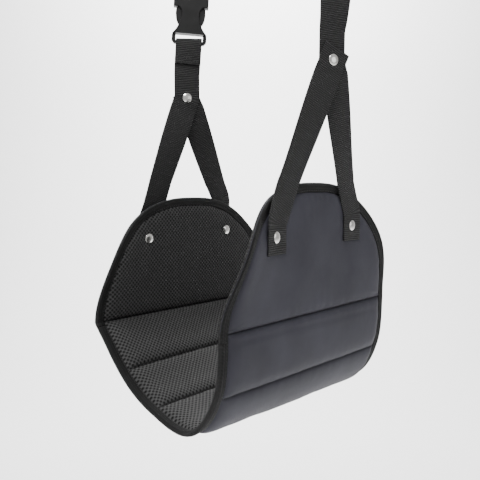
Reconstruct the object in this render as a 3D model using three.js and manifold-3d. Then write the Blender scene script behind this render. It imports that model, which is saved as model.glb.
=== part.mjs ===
// A padded hanging sling: a quilted U-shaped panel bound with tape, carried by two webbing straps.
// Each strap splits into a riveted V on its wall of the panel and ends above in a sewn hanging loop.
// The left strap holds a side-release buckle. Millimetres, +Z up, +Y along the trough, +X across it.
// The origin is halfway between the two hanging loops, at the height where they sit on their bar.

import * as THREE from "three";
import { mergeVertices } from "three/addons/utils/BufferGeometryUtils.js";
import Module from "manifold-3d";

const wasm = await Module();
wasm.setup();

// ---- driving dimensions -------------------------------------------------------------------------
const SEAT_HEIGHT = 500; // from the right fold line up to the seats of the hanging loops
const PANEL = { halfWidth: 135.5, wallHeight: 130, roundness: [2.6, 1.75] };
// Cover sheet, pad bulge, half the gap between the covers at a seam, and the way left free at a hinge.
const COVER = { thick: 0.8, bulge: 4, rest: 0.35, hingeGap: 1.5 };
const FOAM_GAP = 0.5;
const BINDING = { leg: 9.5, outer: 2.25, thick: 0.8, hingeGap: 2.5 };
const WEB = { width: 30, thick: 1.4, layer: 1.9 }; // layer: pitch of two stacked webbing layers
const RIVET = { capRadius: 5.5, capHeight: 1.7, postRadius: 1.6, holeRadius: 1.9 };

// Each leg of a V is riveted to its wall at y, up above the fold line. Its tab ends a little under the
// rivet, bends above it, and crosses the wall's top edge at crest.
const LEGS = {
  right: {
    near: { y: -68.5, up: 80, bend: 13, crest: -50.5 },
    far: { y: 58.5, up: 85.5, bend: 13, crest: 46.5 },
  },
  left: {
    near: { y: -67, up: 85, bend: 0, crest: -49 },
    far: { y: 57, up: 89, bend: 13, crest: 57 },
  },
};
const TAB = { under: 16, top: 127.2, legStart: 128.4 };

// Seams of the quilted panel, in the XZ plane, from the right fold line down and round to the left one.
// dir is the way the panel runs there.
const SEAMS = [
  { at: [-5.5, 0], dir: [-0.03, -1] },
  { at: [-13, -57.5], dir: [-0.39, -0.92] },
  { at: [-46, -96], dir: [-0.94, -0.34] },
  { at: [-97, -87], dir: [-0.92, 0.4] },
  { at: [-142, -57], dir: [-0.77, 0.64] },
  { at: [-186, -16], dir: [-0.68, 0.73] },
];
const WALLS = {
  right: { side: 1, base: SEAMS[0].at },
  left: { side: -1, base: SEAMS[SEAMS.length - 1].at },
};

// The straps: where each V meets, where its loop sits, and how the webbing turns on its way up.
// An azimuth of 90 degrees faces +X and one of 0 faces -Y. turn lists [height, azimuth], flat is how far
// below the apex the legs lie flat on each other.
const STRAPS = {
  right: {
    apex: [10, 5, 247],
    seat: [24, 12.5, SEAT_HEIGHT],
    flat: 14,
    turn: [[275, 70], [315, 46], [420, 0]],
  },
  left: {
    apex: [-184, -6, 229.5],
    seat: [-178, 12.5, SEAT_HEIGHT],
    flat: 14,
    turn: [[253, 62], [287, 46], [380, 46], [420, 0]],
  },
};
const BUCKLE = { foot: 290, halfWidth: 20, halfThick: 4.5, mouth: 60 };
const ORIGIN = new THREE.Vector3(-77, 12.5, SEAT_HEIGHT);

// ---- materials ----------------------------------------------------------------------------------
const material = (color, roughness, metalness = 0) =>
  new THREE.MeshStandardMaterial({ color, roughness, metalness });
const SLATE = material(0x45454e, 0.55);
const LINING = material(0x1c1c1f, 0.9);
const FOAM = material(0x3a3a3c, 0.95);
const TAPE = material(0x1d1d1f, 0.8);
const WEBBING = material(0x222224, 0.75);
const PLASTIC = material(0x1b1b1d, 0.4);
const STEEL = material(0xd8d8d4, 0.2, 1);

const sling = new THREE.Group();
sling.position.copy(ORIGIN).negate();

function add(name, geometry, look, parent = sling) {
  const mesh = new THREE.Mesh(geometry, look);
  mesh.name = name;
  parent.add(mesh);
  return mesh;
}

// ---- geometry helpers ---------------------------------------------------------------------------
function signedVolume(geometry) {
  const p = geometry.attributes.position;
  const [a, b, c] = [new THREE.Vector3(), new THREE.Vector3(), new THREE.Vector3()];
  let six = 0;
  for (let i = 0; i < geometry.index.count; i += 3) {
    a.fromBufferAttribute(p, geometry.index.getX(i));
    b.fromBufferAttribute(p, geometry.index.getX(i + 1));
    c.fromBufferAttribute(p, geometry.index.getX(i + 2));
    six += a.dot(b.cross(c));
  }
  return six / 6;
}

// Bare geometry: shared vertices merged, and faces turned to point outwards.
function closed(geometry) {
  geometry.deleteAttribute("normal");
  geometry.deleteAttribute("uv");
  const merged = mergeVertices(geometry, 1e-4);
  if (signedVolume(merged) < 0) merged.index.array.reverse();
  return merged;
}

// Moves every vertex of a geometry to where place(vertex) says.
function deform(geometry, place) {
  const p = geometry.attributes.position;
  const v = new THREE.Vector3();
  for (let i = 0; i < p.count; i++) {
    const to = place(v.fromBufferAttribute(p, i));
    p.setXYZ(i, to.x, to.y, to.z);
  }
  return closed(geometry);
}

// A block with one cell per step of the three lists of stations, bent by place(a, b, c).
function bentBlock(as, bs, cs, place) {
  const [na, nb, nc] = [as, bs, cs].map((list) => list.length - 1);
  const box = new THREE.BoxGeometry(na, nb, nc, na, nb, nc);
  const pick = (list, value) => list[Math.round(value + (list.length - 1) / 2)];
  return deform(box, (v) => place(pick(as, v.x), pick(bs, v.y), pick(cs, v.z)));
}

const between = (from, to, steps) =>
  Array.from({ length: steps + 1 }, (_, i) => from + ((to - from) * i) / steps);

const toSolid = (geometry) =>
  new wasm.Manifold(
    new wasm.Mesh({
      numProp: 3,
      vertProperties: geometry.attributes.position.array,
      triVerts: new Uint32Array(geometry.index.array),
    }),
  );

function toGeometry(solid) {
  const mesh = solid.getMesh();
  const points = new Float32Array(mesh.vertProperties);
  return new THREE.BufferGeometry()
    .setAttribute("position", new THREE.BufferAttribute(points, 3))
    .setIndex(new THREE.BufferAttribute(mesh.triVerts, 1));
}

const subtract = (geometry, ...cutters) =>
  toGeometry(cutters.reduce((left, cutter) => left.subtract(toSolid(cutter)), toSolid(geometry)));
const join = (first, ...rest) =>
  toGeometry(rest.reduce((sum, piece) => sum.add(toSolid(piece)), toSolid(first)));

// A round pin through point, along the unit vector axis.
function pin(point, axis, radius, length, segments = 16) {
  const rod = new THREE.CylinderGeometry(radius, radius, length, segments);
  const turn = new THREE.Quaternion().setFromUnitVectors(new THREE.Vector3(0, 1, 0), axis);
  return closed(rod.applyQuaternion(turn).translate(point.x, point.y, point.z));
}

// ---- the quilted panel --------------------------------------------------------------------------
// How far a pad has swelled, from 0 at its seam or bound edge to 1, d millimetres further in.
function swell(d, reach = 14) {
  const x = THREE.MathUtils.clamp(d / reach, 0, 1);
  return Math.sqrt(1 - (1 - x) ** 2);
}

// Half the gap between the two covers, mm away from the nearest seam and from the bound edge.
const halfGap = (fromSeam, fromEdge) =>
  COVER.rest + COVER.bulge * Math.min(swell(fromSeam), swell(fromEdge - BINDING.leg - 0.5));

// A point of section k of the floor: share runs 0 to 1 between its seams, t is the offset outwards.
function floorPoint(k, share, y, t) {
  const [a, b] = [SEAMS[k], SEAMS[k + 1]];
  const [p0, p3] = [new THREE.Vector2(...a.at), new THREE.Vector2(...b.at)];
  const reach = p0.distanceTo(p3) / 3;
  const p1 = new THREE.Vector2(...a.dir).setLength(reach).add(p0);
  const p2 = new THREE.Vector2(...b.dir).setLength(-reach).add(p3);
  const curve = new THREE.CubicBezierCurve(p0, p1, p2, p3);
  const along = curve.getTangent(share);
  const at = curve.getPoint(share);
  return new THREE.Vector3(at.x - along.y * t, y, at.y + along.x * t);
}

const sectionLength = (k) =>
  new THREE.Vector2(...SEAMS[k].at).distanceTo(new THREE.Vector2(...SEAMS[k + 1].at)) * 1.02;

// Insets from a seam and from the bound edge at which pads and covers are shaped.
const SEAM_STEPS = [3.2, 6, 13];
const EDGE_STEPS = [12, 15, 24];

// Stations from one side to the other of a width centred on zero, given their insets from each side.
function acrossPanel(insets) {
  const steps = insets.map((inset) => PANEL.halfWidth - inset);
  return [...steps.map((y) => -y), ...steps.slice().reverse()];
}

// One foam pad of the floor, in its sewn channel between two seams.
function floorPad(k) {
  const length = sectionLength(k);
  const shares = [...SEAM_STEPS, length / 2, ...SEAM_STEPS.map((s) => length - s).reverse()]
    .map((s) => s / length);
  return bentBlock(shares, acrossPanel(EDGE_STEPS), [-1, 1], (share, y, side) => {
    const fromSeam = Math.min(share, 1 - share) * length;
    const gap = halfGap(fromSeam, PANEL.halfWidth - Math.abs(y));
    return floorPoint(k, share, y, side * Math.max(gap - FOAM_GAP, 0.4));
  });
}

// Stations round the floor, at the given insets from every seam, starting and ending short of the hinges.
function floorStations(insets, hingeGap) {
  const stations = [];
  const last = SEAMS.length - 2;
  for (let k = 0; k <= last; k++) {
    const length = sectionLength(k);
    for (const s of [...insets, length / 2, ...insets.map((inset) => length - inset).reverse()]) {
      const start = k === 0 && s === 0 ? hingeGap : 0;
      const end = k === last && s === length ? hingeGap : 0;
      const repeated = k > 0 && s === 0;
      const share = (s + start - end) / length;
      if (!repeated) stations.push({ k, share, fromSeam: Math.min(s, length - s) + start + end });
    }
  }
  return stations;
}

// A cover of the whole floor. side is +1 for the outer cover and -1 for the mesh lining.
function floorCover(side) {
  const ys = acrossPanel([1.1, 10, ...EDGE_STEPS]);
  const stations = floorStations([0, ...SEAM_STEPS], COVER.hingeGap);
  return bentBlock(stations, ys, [0, COVER.thick], (at, y, depth) => {
    const gap = halfGap(at.fromSeam, PANEL.halfWidth - Math.abs(y));
    return floorPoint(at.k, at.share, y, side * (gap + depth));
  });
}

// The binding's section: x is outwards from the panel, y through its thickness.
function bindingShape() {
  const { leg, outer, thick } = BINDING;
  const inner = outer - thick;
  const corners = [
    [-leg, -outer], [0, -outer], [0, outer], [-leg, outer],
    [-leg, inner], [-thick, inner], [-thick, -inner], [-leg, -inner],
  ];
  return new THREE.Shape(corners.map(([x, y]) => new THREE.Vector2(x, y)));
}

// Sweeps a shape along stations: place(x, y, station) says where each of its points goes.
function sweep(shape, stations, place) {
  const steps = stations.length - 1;
  const rod = new THREE.ExtrudeGeometry(shape, { depth: steps, steps, bevelEnabled: false });
  return deform(rod, (v) => place(v.x, v.y, stations[Math.round(v.z)]));
}

function floorBinding(end) {
  const stations = floorStations([0, SEAM_STEPS[1], SEAM_STEPS[2]], BINDING.hingeGap);
  return sweep(bindingShape(), stations, (x, y, at) =>
    floorPoint(at.k, at.share, end * (PANEL.halfWidth + x), y));
}

// A point of a wall: y along it, s above its fold line, t outwards from its middle plane.
function wallPoint(wall, y, s, t) {
  const [x, z] = wall.base;
  return new THREE.Vector3(x + wall.side * t, y, z + s);
}

// True where (y, s) lies inside a wall's outline once it is drawn in by inset.
function insideWall(y, s, inset) {
  const across = Math.abs(y) / (PANEL.halfWidth - inset);
  const up = Math.max(s, 0) / (PANEL.wallHeight - inset);
  return across ** PANEL.roundness[0] + up ** PANEL.roundness[1] < 1;
}

// A round-cornered solid that fills a wall's outline. Each row says how far in from the edge it runs
// and its offset outwards; the first and last rows close the solid at the wall's centre.
const WALL_CENTRE = 56;
function wallSolid(wall, rows, floor) {
  const corner = Math.atan2(WALL_CENTRE - floor, PANEL.halfWidth);
  const [bottom, rest] = [6, 28];
  const angles = [
    ...between(-Math.PI + corner, -corner, bottom).slice(0, -1),
    ...between(-corner, Math.PI + corner, rest),
  ];
  const points = rows.map((_, i) => new THREE.Vector2(i === 0 || i === rows.length - 1 ? 0 : 1, i));
  const lathe = new THREE.LatheGeometry(points, bottom + rest);
  return deform(lathe, (v) => {
    const [inset, t] = rows[Math.round(v.y)];
    if (Math.hypot(v.x, v.z) < 0.5) return wallPoint(wall, 0, WALL_CENTRE, t);
    const turn = THREE.MathUtils.euclideanModulo(Math.atan2(v.x, v.z), 2 * Math.PI);
    const step = Math.round((turn / (2 * Math.PI)) * (bottom + rest)) % (bottom + rest);
    const [dy, ds] = [Math.cos(angles[step]), Math.sin(angles[step])];
    const onSeam = step <= bottom;
    const margin = onSeam ? inset * 0.35 : inset;
    let [low, high] = [0, 200];
    while (high - low > 1e-4) {
      const r = (low + high) / 2;
      const [y, s] = [dy * r, WALL_CENTRE + ds * r];
      if (insideWall(y, s, inset) && s > floor + margin) low = r;
      else high = r;
    }
    return wallPoint(wall, dy * low, WALL_CENTRE + ds * low, t);
  });
}

function wallCover(wall, side) {
  const full = COVER.rest + COVER.bulge;
  const rows = [
    [0, full + COVER.thick], [26, full + COVER.thick], [14, 3.5 + COVER.thick],
    [10, COVER.rest + COVER.thick], [1.1, COVER.rest + COVER.thick],
    [1.1, COVER.rest], [10.4, COVER.rest], [14.4, 3.5], [26, full], [0, full],
  ];
  return wallSolid(wall, rows.map(([inset, t]) => [inset, side * t]), COVER.hingeGap);
}

function wallPad(wall) {
  const full = COVER.rest + COVER.bulge - FOAM_GAP;
  const rows = [
    [0, full], [26, full], [15.5, 3], [12.5, 0.6],
    [12.5, -0.6], [15.5, -3], [26, -full], [0, -full],
  ];
  return wallSolid(wall, rows, COVER.hingeGap);
}

// The binding runs up one edge of a wall, over its top and down the other edge.
function wallBinding(wall) {
  const { halfWidth, wallHeight, roundness } = PANEL;
  const outline = (angle) => {
    const up = Math.max(Math.sin(angle), 0) ** (2 / roundness[1]) * wallHeight;
    const across = Math.abs(Math.cos(angle)) ** (2 / roundness[0]) * halfWidth;
    return new THREE.Vector2(-Math.sign(Math.cos(angle)) * across, up);
  };
  const stations = between(0, Math.PI, 36).map((angle) => {
    const [before, after] = [outline(Math.max(angle - 0.02, 0)), outline(Math.min(angle + 0.02, Math.PI))];
    const run = after.sub(before).normalize();
    return { at: outline(angle), out: new THREE.Vector2(-run.y, run.x) };
  });
  for (const end of [stations[0], stations[stations.length - 1]]) {
    end.at.y = BINDING.hingeGap;
    end.out.set(Math.sign(end.at.x), 0);
  }
  return sweep(bindingShape(), stations, (x, y, { at, out }) =>
    wallPoint(wall, at.x + out.x * x, at.y + out.y * x, y));
}

// ---- webbing ------------------------------------------------------------------------------------
const widthDirection = (azimuth) =>
  new THREE.Vector3(Math.cos(THREE.MathUtils.degToRad(azimuth)), Math.sin(THREE.MathUtils.degToRad(azimuth)), 0);
const faceDirection = (azimuth) =>
  new THREE.Vector3(Math.sin(THREE.MathUtils.degToRad(azimuth)), -Math.cos(THREE.MathUtils.degToRad(azimuth)), 0);

// A flat webbing strip along points, each {at, azimuth}: its face turns with the azimuth.
// A level point cuts the strip horizontally, and run overrides the direction it runs in there.
function ribbon(points) {
  const frames = points.map(({ at, azimuth, level, run }, i) => {
    const before = points[Math.max(i - 1, 0)].at;
    const after = points[Math.min(i + 1, points.length - 1)].at;
    const along = run ?? after.clone().sub(before).normalize();
    const across = widthDirection(azimuth);
    const slant = across.dot(along);
    if (level) across.divideScalar(Math.sqrt(1 - slant ** 2));
    else across.addScaledVector(along, -slant).normalize();
    return { at, across, face: across.clone().cross(along).normalize() };
  });
  return bentBlock([-0.5, 0.5], [-0.5, 0.5], frames, (x, y, { at, across, face }) =>
    at.clone().addScaledVector(across, x * WEB.width).addScaledVector(face, y * WEB.thick));
}

// A strap rises straight off the apex of its V, then leans over to its seat.
// Returns the point of its middle at a height.
function strapLine(strap, z) {
  const [apex, seat] = [new THREE.Vector3(...strap.apex), new THREE.Vector3(...strap.seat)];
  const knee = apex.z + 26;
  if (z < knee) return apex.setZ(z);
  return apex.setZ(knee).lerp(seat, (z - knee) / (seat.z - knee));
}

function strapAzimuth(strap, z) {
  const next = strap.turn.findIndex(([height]) => height > z);
  if (next <= 0) return strap.turn[next === 0 ? 0 : strap.turn.length - 1][1];
  const [[z0, from], [z1, to]] = strap.turn.slice(next - 1, next + 1);
  return THREE.MathUtils.mapLinear(z, z0, z1, from, to);
}

// Stations of a strap from a list of [offset towards its face, height].
function strapStations(strap, list) {
  return list.map(([offset, z]) => {
    const azimuth = strapAzimuth(strap, z);
    return { at: strapLine(strap, z).addScaledVector(faceDirection(azimuth), offset), azimuth };
  });
}

// The teardrop loop that hangs on a bar, as [offset, height below the seat], from the strap up and round.
const LOOP = [
  [0, -64], [3, -54], [8.5, -42], [12.2, -28], [12.7, -14], [10.8, -5], [6, WEB.thick / 2],
  [5, WEB.thick / 2], [-5, WEB.thick / 2], [-6, WEB.thick / 2], [-10.8, -5], [-12.7, -14],
  [-12.4, -28], [-9.5, -42], [-4.5, -54], [-WEB.layer, -64], [-WEB.layer, -84],
].map(([offset, below]) => [offset, SEAT_HEIGHT + below]);

// The middle of a leg at the wall's own plane, s above the fold line.
const TAB_OUT = COVER.rest + COVER.bulge + COVER.thick + 0.3 + WEB.thick / 2;
function tabPoint(wall, { y, up, bend, crest }, s) {
  const share = Math.max((s - up - bend) / (TAB.legStart - up - bend), 0);
  return wallPoint(wall, THREE.MathUtils.lerp(y, crest, share), s, TAB_OUT);
}

// The leg of a V above its wall: straight from the hinge line to the apex, turning on its way.
// Its last stretch lies flat against the other leg.
function legStations(name, place, offset) {
  const strap = STRAPS[name];
  const turned = strap.turn[0][1];
  const face = faceDirection(turned);
  const foot = tabPoint(WALLS[name], LEGS[name][place], TAB.legStart);
  const end = new THREE.Vector3(...strap.apex).addScaledVector(face, offset);
  const lean = end.clone().sub(foot);
  lean.addScaledVector(face, -lean.dot(face)).normalize();
  const knee = end.clone().addScaledVector(lean, -strap.flat);
  const stations = [0, 0.08, 0.2, 0.35, 0.5, 0.65, 0.8, 1].map((share) => ({
    at: foot.clone().lerp(knee, share),
    azimuth: THREE.MathUtils.lerp(90, turned, THREE.MathUtils.smoothstep(share, 0, 1)),
    level: share === 0,
    run: share === 1 ? lean : undefined,
  }));
  stations.push({ at: end, azimuth: turned });
  return { stations, lean, end, turned };
}

const apexPin = (name, radius, length) =>
  pin(new THREE.Vector3(...STRAPS[name].apex), faceDirection(STRAPS[name].turn[0][1]), radius, length);

// The short leg ends that far past the rivet of the apex.
function shortLeg(name, place, offset, past) {
  const { stations, lean, end, turned } = legStations(name, place, offset);
  for (const share of [0.5, 1]) {
    stations.push({ at: end.clone().addScaledVector(lean, past * share), azimuth: turned });
  }
  return subtract(ribbon(stations), apexPin(name, RIVET.holeRadius, 12));
}

// The main strap is the other leg, carried on upwards through the heights of the list.
function mainStrap(name, place, offset, list) {
  const { stations } = legStations(name, place, offset);
  const above = strapStations(STRAPS[name], list);
  return subtract(ribbon([...stations, ...above]), apexPin(name, RIVET.holeRadius, 12));
}

// The end of a leg that lies flat on the outside of its wall.
function legTab(wall, leg) {
  const heights = [leg.up - TAB.under, leg.up + leg.bend, TAB.top];
  const points = heights.map((s) => ({ at: tabPoint(wall, leg, s), azimuth: 90, level: s === TAB.top }));
  const hole = pin(tabPoint(wall, leg, leg.up), new THREE.Vector3(1, 0, 0), RIVET.holeRadius, 12);
  return subtract(ribbon(points), hole);
}

// ---- rivets -------------------------------------------------------------------------------------
// A domed cap on its axis, with a post of the given length under it. Its underside is at zero.
function rivetCap(post) {
  const { capRadius, capHeight, postRadius } = RIVET;
  const dome = between(0, 1, 3).map((share) => {
    const angle = (share * Math.PI) / 2;
    return [capRadius * Math.cos(angle), capHeight * (0.35 + 0.65 * Math.sin(angle))];
  });
  const under = post > 0 ? [[0, -post], [postRadius, -post], [postRadius, 0]] : [[0, 0]];
  const profile = [...under, [capRadius, 0], ...dome.slice(0, -1), [0, capHeight]];
  return closed(new THREE.LatheGeometry(profile.map(([x, y]) => new THREE.Vector2(x, y)), 16));
}

// A rivet: its cap on one side, at from along axis, and its back on the other side, at to.
function addRivet(name, centre, axis, from, to) {
  const up = new THREE.Vector3(0, 1, 0);
  const cap = add(`${name}_cap`, rivetCap(from - to - 0.3), STEEL);
  cap.position.copy(centre).addScaledVector(axis, from);
  cap.quaternion.setFromUnitVectors(up, axis);
  const back = add(`${name}_back`, rivetCap(0), STEEL);
  back.position.copy(centre).addScaledVector(axis, to);
  back.quaternion.setFromUnitVectors(up, axis.clone().negate());
}

// ---- the side-release buckle --------------------------------------------------------------------
// Buckle shapes are drawn with x across and y up from the foot of the socket, and stand on their strap.
const mirrored = (half) => [...half, ...half.map(([x, y]) => [-x, y]).reverse()];
const shapeOf = (points) => new THREE.Shape(points.map(([x, y]) => new THREE.Vector2(x, y)));

function plate(shape, halfThick, bevel = 0) {
  const options = { depth: 2 * (halfThick - bevel), bevelEnabled: bevel > 0, bevelSize: bevel,
    bevelThickness: bevel, bevelOffset: -bevel, bevelSegments: 2, curveSegments: 8 };
  return closed(new THREE.ExtrudeGeometry(shape, options).translate(0, 0, bevel - halfThick));
}

function block(x0, x1, y0, y1, halfThick) {
  const box = new THREE.BoxGeometry(x1 - x0, y1 - y0, 2 * halfThick);
  return closed(box.translate((x0 + x1) / 2, (y0 + y1) / 2, 0));
}

function socketShape() {
  const flank = new THREE.SplineCurve(
    [[19.6, 12], [15.6, 17], [12.6, 23], [10.3, 31], [10.8, 38], [13.5, 42.4]]
      .map(([x, y]) => new THREE.Vector2(x, y)),
  ).getPoints(12).map((p) => [p.x, p.y]);
  const { halfWidth, mouth } = BUCKLE;
  return shapeOf(mirrored([
    [17, 0.6], [halfWidth, 4], [halfWidth, 10], ...flank, [halfWidth, 42.4], [halfWidth, mouth],
  ]));
}

// The socket: a webbing bar at its foot, a waist where the prongs show, and a wide mouth.
function socket() {
  const body = plate(socketShape(), BUCKLE.halfThick, 0.8);
  const webSlot = block(-15.8, 15.8, 4.4, 12, 6);
  const cavity = block(-15.6, 15.6, 20, BUCKLE.mouth + 1, 2.7);
  const thinFront = block(-21, 21, -1, 12, 3).translate(0, 0, 5.2);
  const thinBack = block(-21, 21, -1, 12, 3).translate(0, 0, -5.2);
  return subtract(body, webSlot, cavity, thinFront, thinBack);
}

const PRONG_PIVOT = [12.5, 61.6];

// The plug: a ladder frame for the upper strap, and the tongue that guides it into the socket.
function plug() {
  const { halfWidth, halfThick, mouth } = BUCKLE;
  const frameTop = 86;
  const outline = mirrored([[halfWidth, mouth + 0.4], [halfWidth, 84], [18, frameTop]]);
  const body = plate(shapeOf(outline), halfThick, 0.8);
  const slots = [block(-15.8, 15.8, 67.5, 72.5, 6), block(-15.8, 15.8, 76, 81.5, 6)];
  const notches = [-1, 1].map((side) =>
    block(side * PRONG_PIVOT[0] - 3, side * PRONG_PIVOT[0] + 3, mouth, 64.2, 2.6));
  const thinned = [1, -1].map((face) => block(-15.8, 15.8, 66, 87, 3).translate(0, 0, face * 5.2));
  const tongue = block(-4, 4, 27, mouth + 2, 2.3);
  return join(subtract(body, ...slots, ...notches, ...thinned), tongue);
}

// A prong: a springy arm with a round root, and a head that catches behind the socket's mouth.
function prong(side) {
  const [px, py] = PRONG_PIVOT;
  const root = between(0, Math.PI, 6).map((a) => [px + 1.9 * Math.cos(a), py + 0.4 + 1.9 * Math.sin(a)]);
  const outline = [
    ...root, [10.8, 56], [11, 44], [9.6, 33], [10.2, 25], [12, 21.8], [14.4, 24], [16.4, 29],
    [17.2, 35], [16.8, 41.4], [14.2, 41.4], [14.1, 56],
  ];
  return plate(shapeOf(outline.map(([x, y]) => [side * x, y])), 2.3);
}

// The group that a buckle half sits in: upright on the strap's line, turned as the strap is.
function buckleSeat() {
  const strap = STRAPS.left;
  const along = strapLine(strap, SEAT_HEIGHT).sub(strapLine(strap, BUCKLE.foot)).normalize();
  const across = widthDirection(strapAzimuth(strap, BUCKLE.foot));
  across.addScaledVector(along, -across.dot(along)).normalize();
  const seat = new THREE.Group();
  seat.quaternion.setFromRotationMatrix(
    new THREE.Matrix4().makeBasis(across, along, across.clone().cross(along)),
  );
  seat.position.copy(strapLine(strap, BUCKLE.foot));
  sling.add(seat);
  return seat;
}

// ---- assembly -----------------------------------------------------------------------------------
for (let k = 0; k < SEAMS.length - 1; k++) add(`foam_floor_${k + 1}`, floorPad(k), FOAM);
add("outer_cover_floor", floorCover(1), SLATE);
add("mesh_lining_floor", floorCover(-1), LINING);
add("binding_floor_near", floorBinding(-1), TAPE);
add("binding_floor_far", floorBinding(1), TAPE);

for (const [name, wall] of Object.entries(WALLS)) {
  const outwards = new THREE.Vector3(wall.side, 0, 0);
  const holes = Object.values(LEGS[name]).map(({ y, up }) =>
    pin(wallPoint(wall, y, up, 0), outwards, RIVET.holeRadius, 20));
  add(`foam_${name}_wall`, subtract(wallPad(wall), ...holes), FOAM);
  add(`outer_cover_${name}_wall`, subtract(wallCover(wall, 1), ...holes), SLATE);
  add(`mesh_lining_${name}_wall`, subtract(wallCover(wall, -1), ...holes), LINING);
  add(`binding_${name}_wall`, wallBinding(wall), TAPE);
  for (const [place, leg] of Object.entries(LEGS[name])) {
    add(`${name}_${place}_leg_tab`, legTab(wall, leg), WEBBING);
    const capAt = TAB_OUT + WEB.thick / 2 + 0.3;
    const backAt = COVER.rest + COVER.bulge + COVER.thick + 0.3;
    addRivet(`${name}_${place}_rivet`, wallPoint(wall, leg.y, leg.up, 0), outwards, capAt, -backAt);
  }
}

// Half the stack of two webbing layers at an apex, and the heights of each strap above it.
const STACK = WEB.layer / 2;
const rightPath = [[-STACK, 275], [0, 287], ...between(304, 420, 8).map((z) => [0, z]), ...LOOP];
add("right_near_leg", shortLeg("right", "near", STACK, 12.5), WEBBING);
add("right_main_strap", mainStrap("right", "far", -STACK, rightPath), WEBBING);

const leftPath = [
  [STACK, 256], [0, 266], [0, 276], [-1.2, 281], [-3.1, 287], [-3.4, 291.5], [-3.3, 294.6],
  [-1.9, 296.8], [0, 297.3], [1.9, 296.8], [3.3, 294.6], [3.4, 291.5], [3.1, 287], [2.3, 282],
  [1.8, 277], [1.8, 268],
];
add("left_far_leg", shortLeg("left", "far", -STACK, 7), WEBBING);
add("left_main_strap", mainStrap("left", "near", STACK, leftPath), WEBBING);

const APEX_CAP = STACK + WEB.thick / 2 + 0.3;
for (const name of ["right", "left"]) {
  const strap = STRAPS[name];
  const face = faceDirection(strap.turn[0][1]);
  addRivet(`${name}_apex_rivet`, new THREE.Vector3(...strap.apex), face, APEX_CAP, -APEX_CAP);
}

// The upper strap folds round the plug's lower bar; its free tail points up beside it.
const upperPath = [
  [5.6, 410], [5.4, 404], [5, 398], [4.4, 392], [3.8, 386], [3.6, 381], [3.6, 376], [3.6, 366],
  [3.2, 361.6], [1.6, 359.6], [0, 359.2], [-1.6, 359.6], [-3.2, 361.6], [-3.6, 366], [-3.6, 376],
  [-2, 382], [-0.4, 388], ...between(394, 424, 5).map((z) => [0, z]), ...LOOP,
];
add("left_upper_strap", ribbon(strapStations(STRAPS.left, upperPath)), WEBBING);

const seat = buckleSeat();
add("buckle_socket", socket(), PLASTIC, seat);
add("buckle_plug", plug(), PLASTIC, seat);
add("buckle_prong_near", prong(-1), PLASTIC, seat);
add("buckle_prong_far", prong(1), PLASTIC, seat);

export default sling;
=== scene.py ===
"""Looks of the padded hanging sling: quilted panels, edge tape, webbing, stitching, rivets and buckle."""
import math

import bmesh
import bpy
import numpy as np
from mathutils import Matrix, Vector


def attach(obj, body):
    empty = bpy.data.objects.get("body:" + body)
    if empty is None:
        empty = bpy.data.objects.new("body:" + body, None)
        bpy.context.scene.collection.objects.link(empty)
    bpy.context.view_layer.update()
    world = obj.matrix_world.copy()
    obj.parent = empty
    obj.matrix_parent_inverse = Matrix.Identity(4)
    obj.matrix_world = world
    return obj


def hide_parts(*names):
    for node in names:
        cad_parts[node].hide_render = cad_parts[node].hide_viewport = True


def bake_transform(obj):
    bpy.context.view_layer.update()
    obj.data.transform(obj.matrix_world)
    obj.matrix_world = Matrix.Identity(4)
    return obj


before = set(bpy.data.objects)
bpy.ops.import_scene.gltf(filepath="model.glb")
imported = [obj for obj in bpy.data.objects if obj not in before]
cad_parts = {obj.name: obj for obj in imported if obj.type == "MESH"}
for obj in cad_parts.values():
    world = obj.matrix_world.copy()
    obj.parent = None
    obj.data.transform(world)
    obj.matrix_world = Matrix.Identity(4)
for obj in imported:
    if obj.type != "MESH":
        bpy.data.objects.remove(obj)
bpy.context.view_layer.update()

# ---- dimensions, in mm from the right fold line, as the model is drawn --------------------------
ORIGIN = np.array([-77.0, 12.5, 500.0])
SEAT = 500.0
HALF_WIDTH, WALL_HEIGHT = 135.5, 130.0
ROUND_ACROSS, ROUND_UP = 2.6, 1.75
REST, BULGE, SKIN = 0.35, 4.0, 0.8
GROOVE, FOLD_GAP = 0.7, 0.2
TAPE_LEG, TAPE_HALF = 9.5, 2.8
WEB_WIDTH, WEB_THICK, WEB_LAYER = 30.0, 1.4, 1.95
CLEAR, THREAD_LIFT = 0.3, 0.15
TAB_OUT = REST + BULGE + SKIN + CLEAR + WEB_THICK / 2
TAB_UNDER, CREST, HINGE_UP = 16.0, 128.4, 127.8
# The pads: rise off the middle plane, rise beside a seam, way left free inside the tape.
COVER_LIFT, SEAM_LIFT, TAPE_CLEAR = 0.4, 0.4, 0.5
# Soft edges: hang of the floor at its right and left, and how wide that hang is as a share of the floor.
SLUMP_RIGHT, SLUMP_LEFT, SLUMP_WIDE = 4.5, 4.6, 0.15
# Curl of each wall's near and far edge, where it starts, and the lean of the left wall's top.
CURL, CURL_FROM, CURL_OVER = {"right": (11.5, 6.5), "left": (7.5, 6.0)}, 66.0, 40.0
TOP_LEAN, LEAN_FROM = 3.0, 100.0
# The floor's tape ends this far from a fold, where the wall's tape takes over.
TAPE_END, WOBBLE_WIDTH = 6.0, 9.0
STITCH_IN, STITCH_OUT = 7.9, 1.98
# A tab follows its wall's curl up to HOLD_TOP, lets go over HOLD_FADE, and reads it no higher than HOLD_LAST.
HOLD_TOP, HOLD_FADE, HOLD_LAST = 150.0, 30.0, 126.0

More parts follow.
